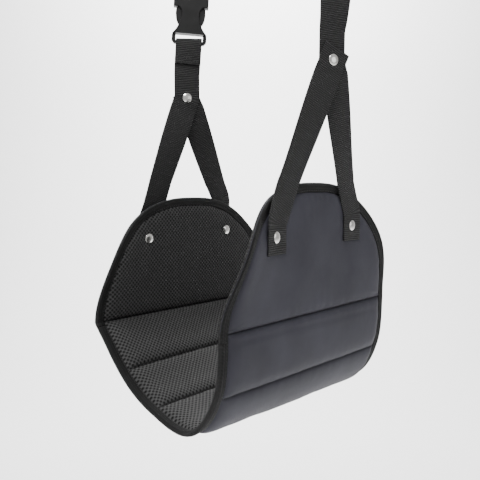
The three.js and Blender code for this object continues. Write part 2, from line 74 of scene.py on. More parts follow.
# Seams round the floor in the XZ plane, each with the way the panel runs there.
SEAMS = [
    ((-5.5, 0.0), (-0.03, -1.0)),
    ((-13.0, -57.5), (-0.39, -0.92)),
    ((-46.0, -96.0), (-0.94, -0.34)),
    ((-97.0, -87.0), (-0.92, 0.4)),
    ((-142.0, -57.0), (-0.77, 0.64)),
    ((-186.0, -16.0), (-0.68, 0.73)),
]
WALLS = {"right": (1, SEAMS[0][0]), "left": (-1, SEAMS[-1][0])}
LEGS = {
    "right": {"near": (-68.5, 80.0, 13.0, -50.5), "far": (58.5, 85.5, 13.0, 46.5)},
    "left": {"near": (-67.0, 85.0, 0.0, -49.0), "far": (57.0, 89.0, 13.0, 57.0)},
}
STRAPS = {
    "right": {
        "apex": (10.0, 5.0, 247.0), "seat": (24.0, 12.5, SEAT), "flat": 14,
        "turn": [(275, 70), (315, 46), (420, 0)],
    },
    "left": {
        "apex": (-184.0, -6.0, 229.5), "seat": (-178.0, 12.5, SEAT), "flat": 14,
        "turn": [(253, 62), (287, 46), (380, 46), (420, 0)],
    },
}


def metres(points):
    """Points in the drawing's mm as points in the row frame, in metres."""
    return (np.asarray(points, float) - ORIGIN) / 1000.0


# ---- materials ----------------------------------------------------------------------------------
class Look:
    """A node material under construction."""

    def __init__(self, name, color, roughness, **sockets):
        self.material = bpy.data.materials.new(name)
        self.material.use_nodes = True
        self.nodes = self.material.node_tree.nodes
        self.links = self.material.node_tree.links
        self.shader = self.nodes["Principled BSDF"]
        self.set(self.shader, **{"Base Color": (*color, 1), "Roughness": roughness, **sockets})

    def set(self, node, **values):
        for key, value in values.items():
            node.inputs[key].default_value = value
        return node

    def add(self, kind, **settings):
        node = self.nodes.new(kind)
        for key, value in settings.items():
            setattr(node, key, value)
        return node

    def link(self, source, target):
        self.links.new(source, target)

    def coords(self, kind="UV", scale=(1, 1, 1), turn=0.0):
        place = self.add("ShaderNodeTexCoord")
        mapping = self.add("ShaderNodeMapping")
        mapping.inputs["Scale"].default_value = scale
        mapping.inputs["Rotation"].default_value = (0, 0, turn)
        self.link(place.outputs[kind], mapping.inputs["Vector"])
        return mapping.outputs["Vector"]

    def noise(self, vector, scale, detail=3.0):
        node = self.set(self.add("ShaderNodeTexNoise"), Scale=scale, Detail=detail)
        self.link(vector, node.inputs["Vector"])
        return node.outputs["Fac"]

    def wave(self, vector, scale, direction):
        node = self.set(self.add("ShaderNodeTexWave", bands_direction=direction), Scale=scale)
        self.link(vector, node.inputs["Vector"])
        return node.outputs["Fac"]

    def math(self, operation, a, b):
        node = self.add("ShaderNodeMath", operation=operation)
        for value, socket in ((a, node.inputs[0]), (b, node.inputs[1])):
            if isinstance(value, (int, float)):
                socket.default_value = value
            else:
                self.link(value, socket)
        return node.outputs[0]

    def spread(self, value, low, high):
        node = self.add("ShaderNodeMapRange")
        self.link(value, node.inputs["Value"])
        node.inputs["To Min"].default_value = low
        node.inputs["To Max"].default_value = high
        return node.outputs["Result"]

    def ramp(self, value, *stops):
        node = self.add("ShaderNodeValToRGB")
        self.link(value, node.inputs["Fac"])
        while len(node.color_ramp.elements) < len(stops):
            node.color_ramp.elements.new(0.5)
        for element, (at, color) in zip(node.color_ramp.elements, stops):
            element.position = at
            element.color = (*color, 1)
        return node.outputs["Color"]

    def bump(self, height, strength, distance, under=None):
        node = self.set(self.add("ShaderNodeBump"), Strength=strength, Distance=distance)
        self.link(height, node.inputs["Height"])
        if under is not None:
            self.link(under, node.inputs["Normal"])
        return node.outputs["Normal"]

    def done(self, color=None, roughness=None, normal=None):
        for socket, value in (("Base Color", color), ("Roughness", roughness), ("Normal", normal)):
            if value is not None:
                self.link(value, self.shader.inputs[socket])
        return self.material


def grey(value, tint=(1.0, 1.0, 1.0)):
    return tuple(value * t for t in tint)


# UVs are in metres, so a wave of scale s has bands of 1000 / (20 s / 2 pi) mm.
def bands(pitch_mm):
    return 1000.0 / pitch_mm * 2 * math.pi / 20.0


def slate_look():
    look = Look("slate_cover", grey(0.046), 0.6)
    uv = look.coords()
    warp = look.wave(uv, bands(0.55), "X")
    weft = look.wave(uv, bands(0.55), "Y")
    weave = look.math("MULTIPLY", warp, weft)
    blotch = look.noise(look.coords("Object"), 18.0, 4.0)
    tint = (0.96, 0.95, 1.2)
    color = look.ramp(blotch, (0.3, grey(0.039, tint)), (0.7, grey(0.053, tint)))
    soft = look.bump(look.noise(look.coords("Object"), 55.0, 2.0), 0.35, 0.0012)
    normal = look.bump(weave, 0.35, 0.00012, soft)
    look.set(look.shader, **{"Sheen Weight": 0.02, "Sheen Roughness": 0.5, "Specular IOR Level": 0.14})
    return look.done(color, look.spread(blotch, 0.55, 0.68), normal)


def mesh_look():
    look = Look("mesh_lining", grey(0.02), 0.9)
    cells = look.add("ShaderNodeTexVoronoi", feature="F1")
    look.set(cells, Scale=1000.0 / 3.4, Randomness=0.0)
    look.link(look.coords(turn=math.pi / 4), cells.inputs["Vector"])
    hole = cells.outputs["Distance"]
    color = look.ramp(hole, (0.18, grey(0.004)), (0.36, grey(0.036)), (0.6, grey(0.07)))
    knit = look.wave(look.coords(), bands(0.5), "Y")
    fine = look.bump(knit, 0.25, 0.0001)
    normal = look.bump(look.ramp(hole, (0.1, grey(0.0)), (0.45, grey(1.0))), 0.9, 0.0007, fine)
    look.set(look.shader, **{"Sheen Weight": 0.04, "Sheen Roughness": 0.6, "Specular IOR Level": 0.2})
    return look.done(color, None, normal)


def webbing_look(name, base, rib, column):
    look = Look(name, grey(base), 0.7)
    uv = look.coords()
    ribs = look.wave(uv, bands(rib), "X")
    columns = look.wave(uv, bands(column), "Y")
    fuzz = look.noise(look.coords(scale=(1.0, 4.0, 1.0)), 700.0, 2.0)
    weave = look.math("MULTIPLY", look.math("MAXIMUM", ribs, look.math("MULTIPLY", columns, 0.7)), fuzz)
    color = look.ramp(weave, (0.08, grey(base * 0.3)), (0.5, grey(base * 2.3)))
    normal = look.bump(look.math("ADD", ribs, look.math("MULTIPLY", columns, 0.5)), 1.0, 0.0006)
    look.set(look.shader, **{"Sheen Weight": 0.02, "Sheen Roughness": 0.5, "Specular IOR Level": 0.16})
    return look.done(color, look.spread(fuzz, 0.55, 0.8), normal)


def plastic_look():
    look = Look("buckle_plastic", grey(0.006), 0.42)
    where = look.coords("Object")
    grain = look.noise(where, 2600.0, 2.0)
    wear = look.noise(where, 90.0, 4.0)
    normal = look.bump(grain, 0.25, 0.00008)
    color = look.ramp(wear, (0.35, grey(0.005)), (0.75, grey(0.009)))
    look.set(look.shader, **{"Specular IOR Level": 0.3})
    return look.done(color, look.spread(wear, 0.36, 0.5), normal)


def nickel_look():
    look = Look("rivet_steel", (0.86, 0.85, 0.82), 0.16, Metallic=1.0)
    where = look.coords("Object")
    scuff = look.noise(where, 900.0, 3.0)
    color = look.ramp(look.noise(where, 120.0, 3.0), (0.3, (0.78, 0.77, 0.74)), (0.7, (0.92, 0.91, 0.88)))
    return look.done(color, look.spread(scuff, 0.1, 0.28), look.bump(scuff, 0.12, 0.0001))


def thread_look():
    look = Look("thread", grey(0.02), 0.55)
    twist = look.wave(look.coords("Object"), 700.0, "DIAGONAL")
    color = look.ramp(twist, (0.2, grey(0.012)), (0.8, grey(0.034)))
    return look.done(color, None, look.bump(twist, 0.4, 0.0001))


SLATE, MESH, PLASTIC = slate_look(), mesh_look(), plastic_look()
TAPE = webbing_look("binding_tape", 0.011, 1.2, 3.1)
WEB = webbing_look("webbing", 0.021, 2.0, 1.2)
NICKEL, THREAD = nickel_look(), thread_look()


# ---- mesh helpers -------------------------------------------------------------------------------
def new_object(name, verts, faces, material, uvs=None):
    """A mesh object in the row frame from points in mm. uvs, in mm, holds one pair for each face corner."""
    mesh = bpy.data.meshes.new(name)
    mesh.from_pydata([tuple(v) for v in metres(verts)], [], [tuple(int(i) for i in f) for f in faces])
    if uvs is not None:
        layer = mesh.uv_layers.new(name="UVMap")
        layer.data.foreach_set("uv", (np.asarray(uvs, float) / 1000.0).ravel())
    mesh.materials.append(material)
    mesh.polygons.foreach_set("use_smooth", [True] * len(mesh.polygons))
    mesh.update()
    obj = bpy.data.objects.new(name, mesh)
    bpy.context.scene.collection.objects.link(obj)
    return obj


def quads(rows, columns, wrap=False):
    """Faces of a grid of points, with the columns joined up where wrap is true."""
    across = columns if wrap else columns - 1
    return [
        (i * columns + j, i * columns + (j + 1) % columns,
         (i + 1) * columns + (j + 1) % columns, (i + 1) * columns + j)
        for i in range(rows - 1) for j in range(across)
    ]


def face_out(obj, weld=False):
    """Turns a closed mesh's faces outwards, with coinciding points joined first where weld is true."""
    work = bmesh.new()
    work.from_mesh(obj.data)
    if weld:
        bmesh.ops.remove_doubles(work, verts=work.verts, dist=1e-7)
    bmesh.ops.recalc_face_normals(work, faces=work.faces)
    work.to_mesh(obj.data)
    work.free()
    return obj


def tube(name, rings, along, material):
    """A closed tube through rings of points; along is each ring's distance from the start, in mm."""
    rings = np.asarray(rings, float)
    count, size = rings.shape[:2]
    step = np.linalg.norm(np.roll(rings[0], -1, axis=0) - rings[0], axis=1)
    around = np.concatenate([[0.0], np.cumsum(step)])
    faces = quads(count, size, wrap=True)
    uvs = []
    for i in range(count - 1):
        for j in range(size):
            uvs += [(along[i], around[j]), (along[i], around[j + 1]),
                    (along[i + 1], around[j + 1]), (along[i + 1], around[j])]
    for ring, distance in ((0, along[0]), (count - 1, along[-1])):
        order = range(size) if ring else range(size - 1, -1, -1)
        faces.append(tuple(ring * size + j for j in order))
        uvs += [(distance, around[j]) for j in order]
    return face_out(new_object(name, rings.reshape(-1, 3), faces, material, uvs))


def finish_piece(obj, slot, body, *nodes):
    if nodes:
        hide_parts(*nodes)
    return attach(obj, body)


# ---- the quilted panels -------------------------------------------------------------------------
def swell(distance, reach=14.0, groove=0.0):
    x = np.clip((distance - groove) / reach, 0, 1)
    return np.sqrt(np.clip(1 - (1 - x) ** 2, 0, 1))


def pinch(distance):
    """Half a pad's thickness beside a fold line, where it tapers so that the fold can close."""
    return 0.12 + 1.1 * distance


def pucker(along, distance, seed, reach=7.0):
    """Small gathers beside a stitched line, strongest close to it."""
    wave = np.sin(along / 1.9 + seed) + np.sin(along / 3.1 + 2.3 * seed)
    wave = wave + 0.7 * np.sin(along / 5.3 + seed * 5)
    return 0.2 * wave * np.exp(-np.abs(distance - 2.0) / reach)


def folds(across, up, seed):
    """Broad soft folds of cloth that is a little larger than its pad, at most about 0.7 mm high."""
    bend = across + 9 * np.sin(up / 23.0 + seed) + 5 * np.sin(up / 11.0 + 2 * seed)
    rise = up + 7 * np.sin(across / 29.0 + 1.7 * seed)
    wide = np.sin(bend / 17.0 + seed) * np.sin(rise / 31.0 + 2.1 * seed)
    narrow = np.sin(bend / 7.5 + 3 * seed) * np.sin(rise / 19.0 + seed)
    return 0.42 * wide + 0.22 * narrow


def rivet_creases(y, s, legs):
    """The dish that each rivet pulls in the pad, the creases round it and the ridge below it."""
    total = np.zeros_like(y)
    for at, up, _, _ in legs:
        away = np.hypot(y - at, s - up)
        angle = np.arctan2(s - up, y - at)
        total -= 1.6 * np.exp(-((away / 9.0) ** 2))
        total += 0.55 * np.cos(5 * angle + at) * np.exp(-(((away - 14.0) / 8.0) ** 2))
        drop = np.clip((up - s) / (up - 12.0), 0, 1)
        ridge = at + math.copysign(26.0, at) * drop ** 1.3
        total += 1.3 * np.sin(np.pi * drop) * np.exp(-(((y - ridge) / 8.0) ** 2))
    return total


def bezier(k):
    (p0, d0), (p3, d3) = SEAMS[k], SEAMS[k + 1]
    p0, p3, d0, d3 = (np.array(v, float) for v in (p0, p3, d0, d3))
    reach = np.linalg.norm(p3 - p0) / 3
    p1 = p0 + d0 / np.linalg.norm(d0) * reach
    p2 = p3 - d3 / np.linalg.norm(d3) * reach
    return p0, p1, p2, p3


def section_length(k):
    p0, _, _, p3 = bezier(k)
    return np.linalg.norm(p3 - p0) * 1.02


def profile(k, share):
    """(point, outward normal) in the XZ plane at that share of section k."""
    p0, p1, p2, p3 = bezier(k)
    u = 1 - share
    point = u ** 3 * p0 + 3 * u * u * share * p1 + 3 * u * share ** 2 * p2 + share ** 3 * p3
    run = 3 * u * u * (p1 - p0) + 6 * u * share * (p2 - p1) + 3 * share ** 2 * (p3 - p2)
    run = run / np.linalg.norm(run)
    return point, np.array([-run[1], run[0]])


def slump(k, share, y):
    """How far the floor's edges hang out of its even curve: low at the far right and the near left."""
    reach = (k + share) / (len(SEAMS) - 1)
    far = (y + HALF_WIDTH) / (2 * HALF_WIDTH)
    right = SLUMP_RIGHT * math.exp(-(((reach - 0.36) / SLUMP_WIDE) ** 2)) * (1 - (1 - far) ** 2)
    left = SLUMP_LEFT * math.exp(-(((reach - 0.76) / SLUMP_WIDE) ** 2)) * max(0.0, -y / HALF_WIDTH) ** 2
    return (right + left) * min(1.0, 8 * reach) * min(1.0, 8 * (1 - reach))


def floor_point(k, share, y, offset):
    point, normal = profile(k, share)
    at = point + normal * (offset + slump(k, share, y))
    return np.array([at[0], y, at[1]])


EDGE_INSETS = [1.0, 4.0, 8.0, 9.6, 10.4, 11.4, 12.6, 14.2, 16.2, 19.0, 22.0, 26.0]
FLOOR_YS = np.array(
    [-HALF_WIDTH + i for i in EDGE_INSETS]
    + list(np.linspace(-HALF_WIDTH + 30, HALF_WIDTH - 30, 72))
    + [HALF_WIDTH - i for i in reversed(EDGE_INSETS)]
)


def floor_stations():
    """(section, share, mm from the nearest seam, mm from the start) round the floor."""
    stations, done = [], 0.0
    last = len(SEAMS) - 2
    for k in range(last + 1):
        length = section_length(k)
        near = [0.0, GROOVE, 1.0, 1.6, 2.4, 3.4, 4.8, 6.4, 8.6, 11.2, 14.0]
        run = near + list(np.linspace(18, length - 18, 6)) + [length - s for s in reversed(near)]
        if k == 0:
            run[0] = FOLD_GAP
        if k == last:
            run[-1] = length - FOLD_GAP
        for s in run[0 if k == 0 else 1:]:
            stations.append((k, s / length, min(s, length - s), done + s))
        done += length
    return stations


def half_pad(name, stations, side, material, seed, bulge, slack):
    """One half of the quilted floor, from its middle plane out to the cover."""
    outer, inner, ys = [], [], FLOOR_YS
    edge = HALF_WIDTH - np.abs(ys)
    for k, share, seam, along in stations:
        crown = bulge * swell(seam, groove=GROOVE) * swell(edge - TAPE_LEG - TAPE_CLEAR)
        gathers = slack * pucker(ys, seam, seed + k) * (seam > 0.5)
        gathers = gathers + pucker(along, edge - TAPE_LEG, seed * 2.0 + 1)
        if side > 0:
            crease = (along - 10.0 - ys / 60.0) / 1.8
            gathers = gathers - 0.9 * np.exp(-(crease ** 2))
        sag = folds(ys, along, seed + k) * swell(seam, 24.0)
        ease = swell(edge - TAPE_LEG - TAPE_CLEAR, 8.0)
        offset = REST + COVER_LIFT + crown + SEAM_LIFT * swell(seam, 4.0) + (gathers + sag) * ease
        offset = np.maximum(offset, 0.45)
        offset = np.minimum(offset, pinch(min(along, stations[-1][3] - along)))
        outer.append([floor_point(k, share, y, side * t) for y, t in zip(ys, offset)])
        inner.append([floor_point(k, share, y, side * 0.05) for y in ys])
    rows, columns = len(stations), len(ys)
    verts = np.array(outer + inner).reshape(-1, 3)
    faces = quads(rows, columns)
    shift = rows * columns
    faces += [tuple(i + shift for i in reversed(f)) for f in quads(rows, columns)]
    rim = [i * columns for i in range(rows)]
    rim += [(rows - 1) * columns + j for j in range(1, columns)]
    rim += [i * columns + columns - 1 for i in range(rows - 2, -1, -1)]
    rim += [j for j in range(columns - 2, 0, -1)]
    faces += [(a, b, b + shift, a + shift) for a, b in zip(rim, rim[1:] + rim[:1])]
    flat = [(s[3], y) for s in stations for y in ys] * 2
    return face_out(new_object(name, verts, faces, material, [flat[i] for f in faces for i in f]))


def wall_bend(name, y, s):
    """How far the wall's middle plane stands out along +X at (y, s), as its soft edges curl."""
    beyond = np.clip((np.abs(y) - CURL_FROM) / CURL_OVER, 0, 2) ** 1.3
    rise = np.sin(np.pi * np.clip(s, 0, WALL_HEIGHT) / 170.0) ** 2
    curl = np.where(y < 0, *CURL[name]) * beyond * rise
    if name == "right":
        return curl
    return curl + TOP_LEAN * np.clip((s - LEAN_FROM) / 30.0, 0, 1)


def wall_point(name, y, s, out):
    side, (x, z) = WALLS[name]
    return np.array([x + side * out + wall_bend(name, y, s), y, z + s])


def outline(angle):
    """The wall's edge, from its near foot at 0 over the top to its far foot at pi."""
    across = np.abs(np.cos(angle)) ** (2 / ROUND_ACROSS) * HALF_WIDTH
    return -np.sign(np.cos(angle)) * across, np.clip(np.sin(angle), 0, 1) ** (2 / ROUND_UP) * WALL_HEIGHT


EDGE_LINE = np.array([outline(a) for a in np.linspace(0, np.pi, 721)])
WALL_CENTRE = np.array([0.0, 56.0])


def wall_reach(direction):
    """Distance from the wall's centre to its outline or its fold line, along a unit direction."""
    low, high = 0.0, 220.0
    for _ in range(40):
        r = (low + high) / 2
        y, s = WALL_CENTRE + direction * r
        inside = s > 0 and (abs(y) / HALF_WIDTH) ** ROUND_ACROSS + (s / WALL_HEIGHT) ** ROUND_UP < 1
        low, high = (r, high) if inside else (low, r)
    return low


def wall_half(name, wall, side, material, seed):
    """One half of a wall's pad, from its middle plane out to the cover."""
    corner = math.atan2(WALL_CENTRE[1], HALF_WIDTH)
    angles = np.concatenate([
        np.linspace(-math.pi + corner, -corner, 72)[:-1],
        np.linspace(-corner, math.pi + corner, 132)[:-1],
    ])
    insets = [0.0, 0.9, 1.8, 3.0, 4.6, 6.4, 8.6, 9.8, 10.6, 11.6, 12.8, 14.6, 17.0, 20.0, 24.0, 30.0]
    rows = []
    for angle in angles:
        direction = np.array([math.cos(angle), math.sin(angle)])
        reach = wall_reach(direction)
        ramp = [reach - i for i in insets] + list(np.linspace(reach - 36, 4, 9)) + [0.0]
        rows.append([WALL_CENTRE + direction * r for r in ramp])
    rows = np.array(rows)
    count, size = rows.shape[:2]
    y, s = rows[..., 0], np.maximum(rows[..., 1], FOLD_GAP)
    gap = np.min(np.hypot(y[..., None] - EDGE_LINE[:, 0], s[..., None] - EDGE_LINE[:, 1]), axis=-1)
    crown = BULGE * swell(s, groove=GROOVE) * swell(gap - TAPE_LEG - TAPE_CLEAR)
    around = np.arctan2(s - 30, y) * 120.0
    gathers = pucker(y, s, seed) * (s > 0.5) + pucker(around, gap - TAPE_LEG, seed + 4.0)
    creases = rivet_creases(y, s, LEGS[wall].values())
    sag = folds(y, s, seed) * swell(s, 30.0)
    ease = swell(gap - TAPE_LEG - TAPE_CLEAR, 8.0)
    offset = REST + COVER_LIFT + SEAM_LIFT * swell(s, 4.0) + crown + creases + (gathers + sag) * ease
    offset = np.minimum(np.maximum(offset, 0.5), pinch(s))
    outer = [wall_point(wall, a, b, side * t) for a, b, t in zip(y.ravel(), s.ravel(), offset.ravel())]
    inner = [wall_point(wall, a, b, side * 0.05) for a, b in zip(y.ravel(), s.ravel())]
    total = count * size
    faces = []
    for i in range(count):
        n = (i + 1) % count
        for j in range(size - 1):
            a, b, c, d = i * size + j, i * size + j + 1, n * size + j + 1, n * size + j
            faces.append((a, b, c, d) if j < size - 2 else (a, b, d))
            low = (a + total, b + total, c + total, d + total)
            faces.append(low[::-1] if j < size - 2 else (low[3], low[1], low[0]))
        faces.append((i * size, n * size, n * size + total, i * size + total))
    flat = list(zip(s.ravel(), y.ravel())) * 2
    uvs = [flat[i] for f in faces for i in f]
    return face_out(new_object(name, np.array(outer + inner), faces, material, uvs), weld=True)


STATIONS = floor_stations()
outer_floor = half_pad("outer_cover_of_floor", STATIONS, 1, SLATE, 1.0, bulge=4.2, slack=0.5)
inner_floor = half_pad("mesh_lining_of_floor", STATIONS, -1, MESH, 2.0, bulge=5.6, slack=1.2)
finish_piece(outer_floor, "slate_cover", "seat", "outer_cover_floor")
foam = [f"foam_floor_{k}" for k in range(1, len(SEAMS))]
finish_piece(inner_floor, "mesh_lining", "seat", "mesh_lining_floor", *foam)

for wall in WALLS:
    cover = wall_half(f"outer_cover_of_{wall}_wall", wall, 1, SLATE, 3.0)
    finish_piece(cover, "slate_cover", f"{wall}_wall", f"outer_cover_{wall}_wall")
    lining = wall_half(f"mesh_lining_of_{wall}_wall", wall, -1, MESH, 5.0)
    finish_piece(lining, "mesh_lining", f"{wall}_wall", f"mesh_lining_{wall}_wall", f"foam_{wall}_wall")


def seam_strip(wall):
    """The stitched seam allowance inside a fold, which joins the floor's cloth to the wall's."""
    section_k = 0 if wall == "right" else len(SEAMS) - 2
    length = section_length(section_k)
    reach, half, thick = 1.1, HALF_WIDTH - 8.0, 0.04
    rings = []
    for run in np.linspace(-reach, reach, 9):
        share = -run / length if wall == "right" else 1 + run / length
        ring = []
        for y in (-half, half):
            for out in (thick, -thick) if y < 0 else (-thick, thick):
                if run < 0:
                    ring.append(floor_point(section_k, share, y, out))
                else:
                    ring.append(wall_point(wall, y, run, out))
        rings.append(ring)
    return tube(f"seam_of_{wall}_fold", rings, np.linspace(0, 2 * reach, 9), TAPE)


for wall, (_, (x, z)) in WALLS.items():
    strip = seam_strip(wall)
    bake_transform(strip)


# ---- edge tape ----------------------------------------------------------------------------------
def tape_section():
    """The folded tape's section: (outwards from the edge, through the thickness)."""
    half = [(-TAPE_LEG, 1.25), (-TAPE_LEG + 0.3, 1.75), (-7.5, 2.0), (-5.0, 2.4), (-2.6, TAPE_HALF),
            (-1.3, 2.5), (-0.4, 1.8), (0.0, 0.7)]
    return half + [(x, -y) for x, y in reversed(half)]


def tape_wobble(along):
    return 0.18 * math.sin(along / 6.1) + 0.12 * math.sin(along / 2.7 + 1)


def floor_tape(name, end):
    rings, along = [], []
    for k, share, _, distance in STATIONS:
        if distance < TAPE_END or distance > STATIONS[-1][3] - TAPE_END:
            continue
        width = 1 + tape_wobble(distance) / WOBBLE_WIDTH
        rings.append([floor_point(k, share, end * (HALF_WIDTH + x * width), -y) for x, y in tape_section()])
        along.append(distance)
    return tube(name, rings, along, TAPE)


def wall_tape(name, wall):
    """The tape round a wall, carried down past the fold line at both feet."""
    section_k = 0 if wall == "right" else len(SEAMS) - 2
    length = section_length(section_k)
    rings = []
    feet = [1.5, 3.0, 4.5, TAPE_END]

    def foot(end, below):
        share = below / length if wall == "right" else 1 - below / length
        return [floor_point(section_k, share, end * (HALF_WIDTH + x), t) for x, t in tape_section()]

    for below in reversed(feet):
        rings.append(foot(-1, below))
    for angle in np.linspace(0.0, np.pi, 150):
        (y0, s0), (y1, s1) = outline(max(angle - 0.02, 0)), outline(min(angle + 0.02, np.pi))
        run = np.array([y1 - y0, s1 - s0])
        run /= np.linalg.norm(run)
        out = np.array([-run[1], run[0]])
        if angle in (0.0, np.pi):
            out = np.array([math.copysign(1, y0 + y1), 0.0])
        y, s = outline(angle)
        grow = 1 + tape_wobble(angle * 130) / WOBBLE_WIDTH
        rings.append([wall_point(wall, y + out[0] * x * grow, s + out[1] * x * grow, t)
                      for x, t in tape_section()])
    for below in feet:
        rings.append(foot(1, below))
    rings = np.array(rings)
    steps = np.linalg.norm(np.diff(rings[:, 7], axis=0), axis=1)
    return tube(name, rings, np.concatenate([[0.0], np.cumsum(steps)]), TAPE)


for place, end in (("near", -1), ("far", 1)):
    finish_piece(floor_tape(f"tape_of_{place}_edge", end), "binding_tape", "seat", f"binding_floor_{place}")

for wall, (_, (x, z)) in WALLS.items():
    tape = wall_tape(f"tape_of_{wall}_wall", wall)
    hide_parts(f"binding_{wall}_wall")
    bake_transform(tape)


# ---- webbing ------------------------------------------------------------------------------------
def width_direction(azimuth):
    a = math.radians(azimuth)
    return np.array([math.cos(a), math.sin(a), 0.0])


def face_direction(azimuth):
    a = math.radians(azimuth)
    return np.array([math.sin(a), -math.cos(a), 0.0])


def strap_line(strap, z):
    apex, seat = np.array(strap["apex"]), np.array(strap["seat"])
    knee = apex[2] + 26
    if z < knee:
        return np.array([apex[0], apex[1], z])
    low = np.array([apex[0], apex[1], knee])
    return low + (seat - low) * (z - knee) / (seat[2] - knee)


def strap_azimuth(strap, z):
    heights, azimuths = zip(*strap["turn"])
    return float(np.interp(z, heights, azimuths))


def strap_stations(strap, offsets):
    """Stations (point, azimuth) of a strap from a list of (offset towards its face, height)."""
    stations = []
    for offset, z in offsets:
        azimuth = strap_azimuth(strap, z)
        stations.append((strap_line(strap, z) + face_direction(azimuth) * offset, azimuth))
    return stations


def leg_stations(wall, place, offset):
    """A leg from the bottom of its tab up to the apex, and the way it runs across the apex."""
    y, up, bend, crest = LEGS[wall][place]
    strap = STRAPS[wall]
    turned = strap["turn"][0][1]
    face = face_direction(turned)
    side, (x, z) = WALLS[wall]

    def tab(s, at):
        return np.array([x + side * TAB_OUT, at, z + s])

    foot = tab(CREST, crest)
    end = np.array(strap["apex"]) + face * offset
    lean = end - foot
    lean = lean - face * lean.dot(face)
    lean /= np.linalg.norm(lean)
    knee = end - lean * strap["flat"]
    stations = [(tab(up - TAB_UNDER, y), 90), (tab(up, y), 90), (tab(up + bend, y), 90), (foot, 90)]
    for share in np.linspace(0, 1, 9)[1:]:
        blend = share * share * (3 - 2 * share)
        stations.append((foot + (knee - foot) * share, 90 + (turned - 90) * blend))
    return stations + [(end, turned)], lean, end, turned


def web_section():
    """The webbing's section: (across, through), with rounded selvedges and a slightly crowned face."""
    half, t = WEB_WIDTH / 2, WEB_THICK / 2
    top = [(-half, 0.0), (-half + 0.25, t * 0.75), (-half + 0.9, t)]
    top += [(u * half, t * (1.0 + 0.06 * math.cos(u * math.pi))) for u in (-0.7, -0.35, 0.0, 0.35, 0.7)]
    top += [(half - 0.9, t), (half - 0.25, t * 0.75), (half, 0.0)]
    return top + [(x, -y) for x, y in reversed(top[1:-1])]


def smooth(values, passes):
    values = np.array(values, float)
    for _ in range(passes):
        values[1:-1] = (values[:-2] + 2 * values[1:-1] + values[2:]) / 4
    return values


def lie_on_wall(wall, point):
    """A point of a tab, carried along with the curl of the wall that it lies on."""
    x, y, z = point
    s = z - WALLS[wall][1][1]
    hold = float(np.clip((HOLD_TOP - s) / HOLD_FADE, 0, 1))
    return np.array([x + hold * float(wall_bend(wall, np.array(y), min(s, HOLD_LAST))), y, z])


def webbing(name, stations, passes=6, step=1.5, wall=None):
    """Webbing along stations (point, azimuth), with its bends eased over a few millimetres."""
    points = np.array([p for p, _ in stations], float)
    azimuths = np.array([a for _, a in stations], float)
    reach = np.concatenate([[0], np.cumsum(np.linalg.norm(np.diff(points, axis=0), axis=1))])
    samples = np.linspace(0, reach[-1], max(int(reach[-1] / step), 4) + 1)
    line = np.stack([np.interp(samples, reach, points[:, i]) for i in range(3)], axis=1)
    line = smooth(line, passes)
    turn = smooth(np.interp(samples, reach, azimuths), 3 * passes)
    runs = np.gradient(line, axis=0)
    runs /= np.linalg.norm(runs, axis=1)[:, None]
    rings = []
    for at, azimuth, run in zip(line, turn, runs):
        across = width_direction(azimuth)
        across = across - run * across.dot(run)
        across /= np.linalg.norm(across)
        face = np.cross(across, run)
        ring = [at + across * u + face * v for u, v in web_section()]
        if wall and at[2] < WALLS[wall][1][1] + HOLD_TOP:
            ring = [lie_on_wall(wall, point) for point in ring]
        rings.append(ring)
    return tube(name, rings, samples, WEB)


LOOP = [
    (0, -64), (3, -54), (8.5, -42), (12.2, -28), (12.7, -14), (10.8, -5), (6, 0.7), (2, 0.9), (-2, 0.9),
    (-6, 0.7), (-10.8, -5), (-12.7, -14), (-12.4, -28), (-9.5, -42), (-4.5, -54),
    (-WEB_LAYER, -64), (-WEB_LAYER, -84),
]
LOOP = [(offset, SEAT + below) for offset, below in LOOP]
STACK = WEB_LAYER / 2


def ride_leg(obj, wall, *nodes):
    """Hides the leg's parts in the model and bakes the piece's placement into its points."""
    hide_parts(*nodes)
    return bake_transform(obj)


def short_leg(wall, place, offset, past):
    stations, lean, end, turned = leg_stations(wall, place, offset)
    stations += [(end + lean * past * share, turned) for share in (0.5, 1.0)]
    leg = webbing(f"webbing_of_{wall}_{place}_leg", stations, passes=4, wall=wall)
    return ride_leg(leg, wall, f"{wall}_{place}_leg", f"{wall}_{place}_leg_tab")


def main_strap(wall, place, offset, above):
    stations = leg_stations(wall, place, offset)[0] + strap_stations(STRAPS[wall], above)
    strap = webbing(f"webbing_of_{wall}_main_strap", stations, passes=3, step=1.0, wall=wall)
    return ride_leg(strap, wall, f"{wall}_main_strap", f"{wall}_{place}_leg_tab")


short_leg("right", "near", STACK, 12.5)
main_strap("right", "far", -STACK,
           [(-STACK, 275), (0, 287)] + [(0, z) for z in np.linspace(304, 420, 9)] + LOOP)
short_leg("left", "far", -STACK, 7)
FOLD = [
    (STACK, 256), (0, 266), (0, 276), (-1.2, 281), (-3.1, 287), (-3.4, 291.5), (-3.3, 294.6), (-1.9, 296.8),
    (0, 297.3), (1.9, 296.8), (3.3, 294.6), (3.4, 291.5), (3.1, 287), (2.3, 282), (1.8, 277), (1.8, 268),
]
main_strap("left", "near", STACK, FOLD)
UPPER = [
    (5.6, 410), (5.4, 404), (5, 398), (4.4, 392), (3.8, 386), (3.6, 381), (3.6, 376), (3.6, 366),
    (3.2, 361.6), (1.6, 359.6), (0, 359.2), (-1.6, 359.6), (-3.2, 361.6), (-3.6, 366), (-3.6, 376),
    (-2, 382), (-0.4, 388), (0, 394), (0, 404), (0, 414), (0, 424),
]
upper_stations = strap_stations(STRAPS["left"], UPPER + LOOP)
upper = webbing("webbing_of_left_upper_strap", upper_stations, passes=3, step=1.0)
finish_piece(upper, "webbing", "upper_left", "left_upper_strap")


